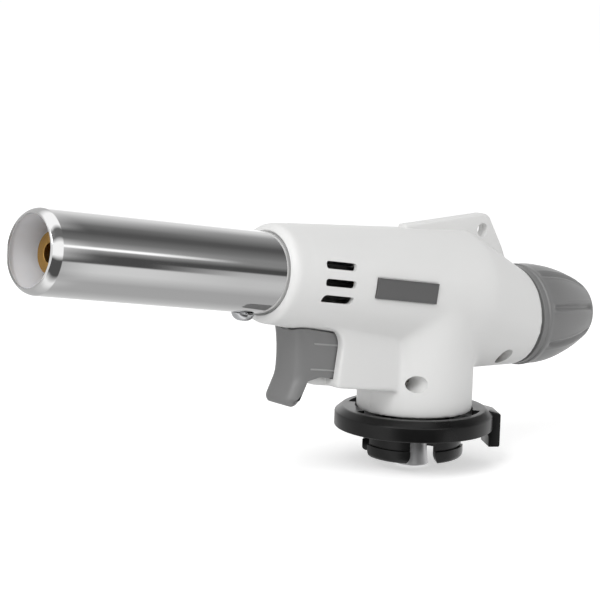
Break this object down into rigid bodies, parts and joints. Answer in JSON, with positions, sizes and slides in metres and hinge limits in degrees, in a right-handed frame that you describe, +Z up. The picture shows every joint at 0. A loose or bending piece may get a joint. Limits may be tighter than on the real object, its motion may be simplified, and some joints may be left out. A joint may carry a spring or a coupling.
{
  "type": "butane torch",
  "caption": "Hand torch for a bayonet gas cartridge: polished steel flame tube, pale plastic grip, grey trigger and gas knob, black lock ring.",
  "frame": {"origin": "on the axis of the gas inlet, at the underside of the lock ring, where the cartridge's rim seats", "axes": "+Z up along the gas inlet, away from the cartridge; the flame tube points towards -X and is raised 8.7 degrees; the name plates face -Y and +Y; the gas knob is at the +X end"},
  "size_m": [0.1776, 0.0406, 0.0733],
  "materials": {
    "body_plastic": "satin",
    "grey_plastic": "satin",
    "black_plastic": "satin",
    "plate_plastic": "matt",
    "ivory_plastic": "satin",
    "polished_steel": "polished",
    "plain_steel": "satin",
    "brass": "machined",
    "zinc_casting": "as cast",
    "rubber": "matt",
    "alumina": "glazed"
  },
  "bodies": {
    "main": {"housing_left": "body_plastic", "housing_right": "body_plastic", "flame_tube": "polished_steel", "tube_screw": "plain_steel", "burner_mount": "zinc_casting", "burner_head": "brass", "burner_gauze": "plain_steel", "mixing_tube": "plain_steel", "gas_jet": "brass", "valve_body": "zinc_casting", "inlet_stem": "plain_steel", "inlet_seal": "rubber", "inlet_filter": "brass", "ring_clip": "plain_steel", "spindle_seal": "rubber", "gland_nut": "brass", "igniter_body": "black_plastic", "trigger_spring": "plain_steel", "ignition_lead": "rubber", "electrode_insulator": "alumina", "electrode_wire": "plain_steel", "name_plates": "plate_plastic", "housing_screws": "plain_steel"},
    "trigger": {"trigger": "grey_plastic", "igniter_plunger": "ivory_plastic"},
    "spindle": {"valve_spindle": "plain_steel"},
    "knob": {"gas_knob": "grey_plastic"},
    "lock_ring": {"lock_ring": "black_plastic"}
  },
  "joints": [
    {"name": "trigger_slide", "type": "slide", "parent": "main", "child": "trigger", "axis": [0.9885, 0, -0.1513], "range_m": [0, 0.0035], "stiffness_N_per_m": 1500, "springref_m": -0.001, "deforming": ["trigger_spring"]},
    {"name": "spindle_slide", "type": "slide", "parent": "main", "child": "spindle", "axis": [0.9992, 0, -0.0401], "range_m": [0, 0.00106]},
    {"name": "knob_turn", "type": "hinge", "parent": "spindle", "child": "knob", "pos_m": [0.0321, 0, 0.02611], "axis": [0.9992, 0, -0.0401], "range_deg": [0, 540]},
    {"name": "lock_ring_turn", "type": "hinge", "parent": "main", "child": "lock_ring", "pos_m": [0, 0, 0], "axis": [0, 0, 1], "range_deg": [0, 30]}
  ],
  "couplings": [
    {"joint": "spindle_slide", "follows": "knob_turn", "m_per_rad": 0.00011141}
  ]
}
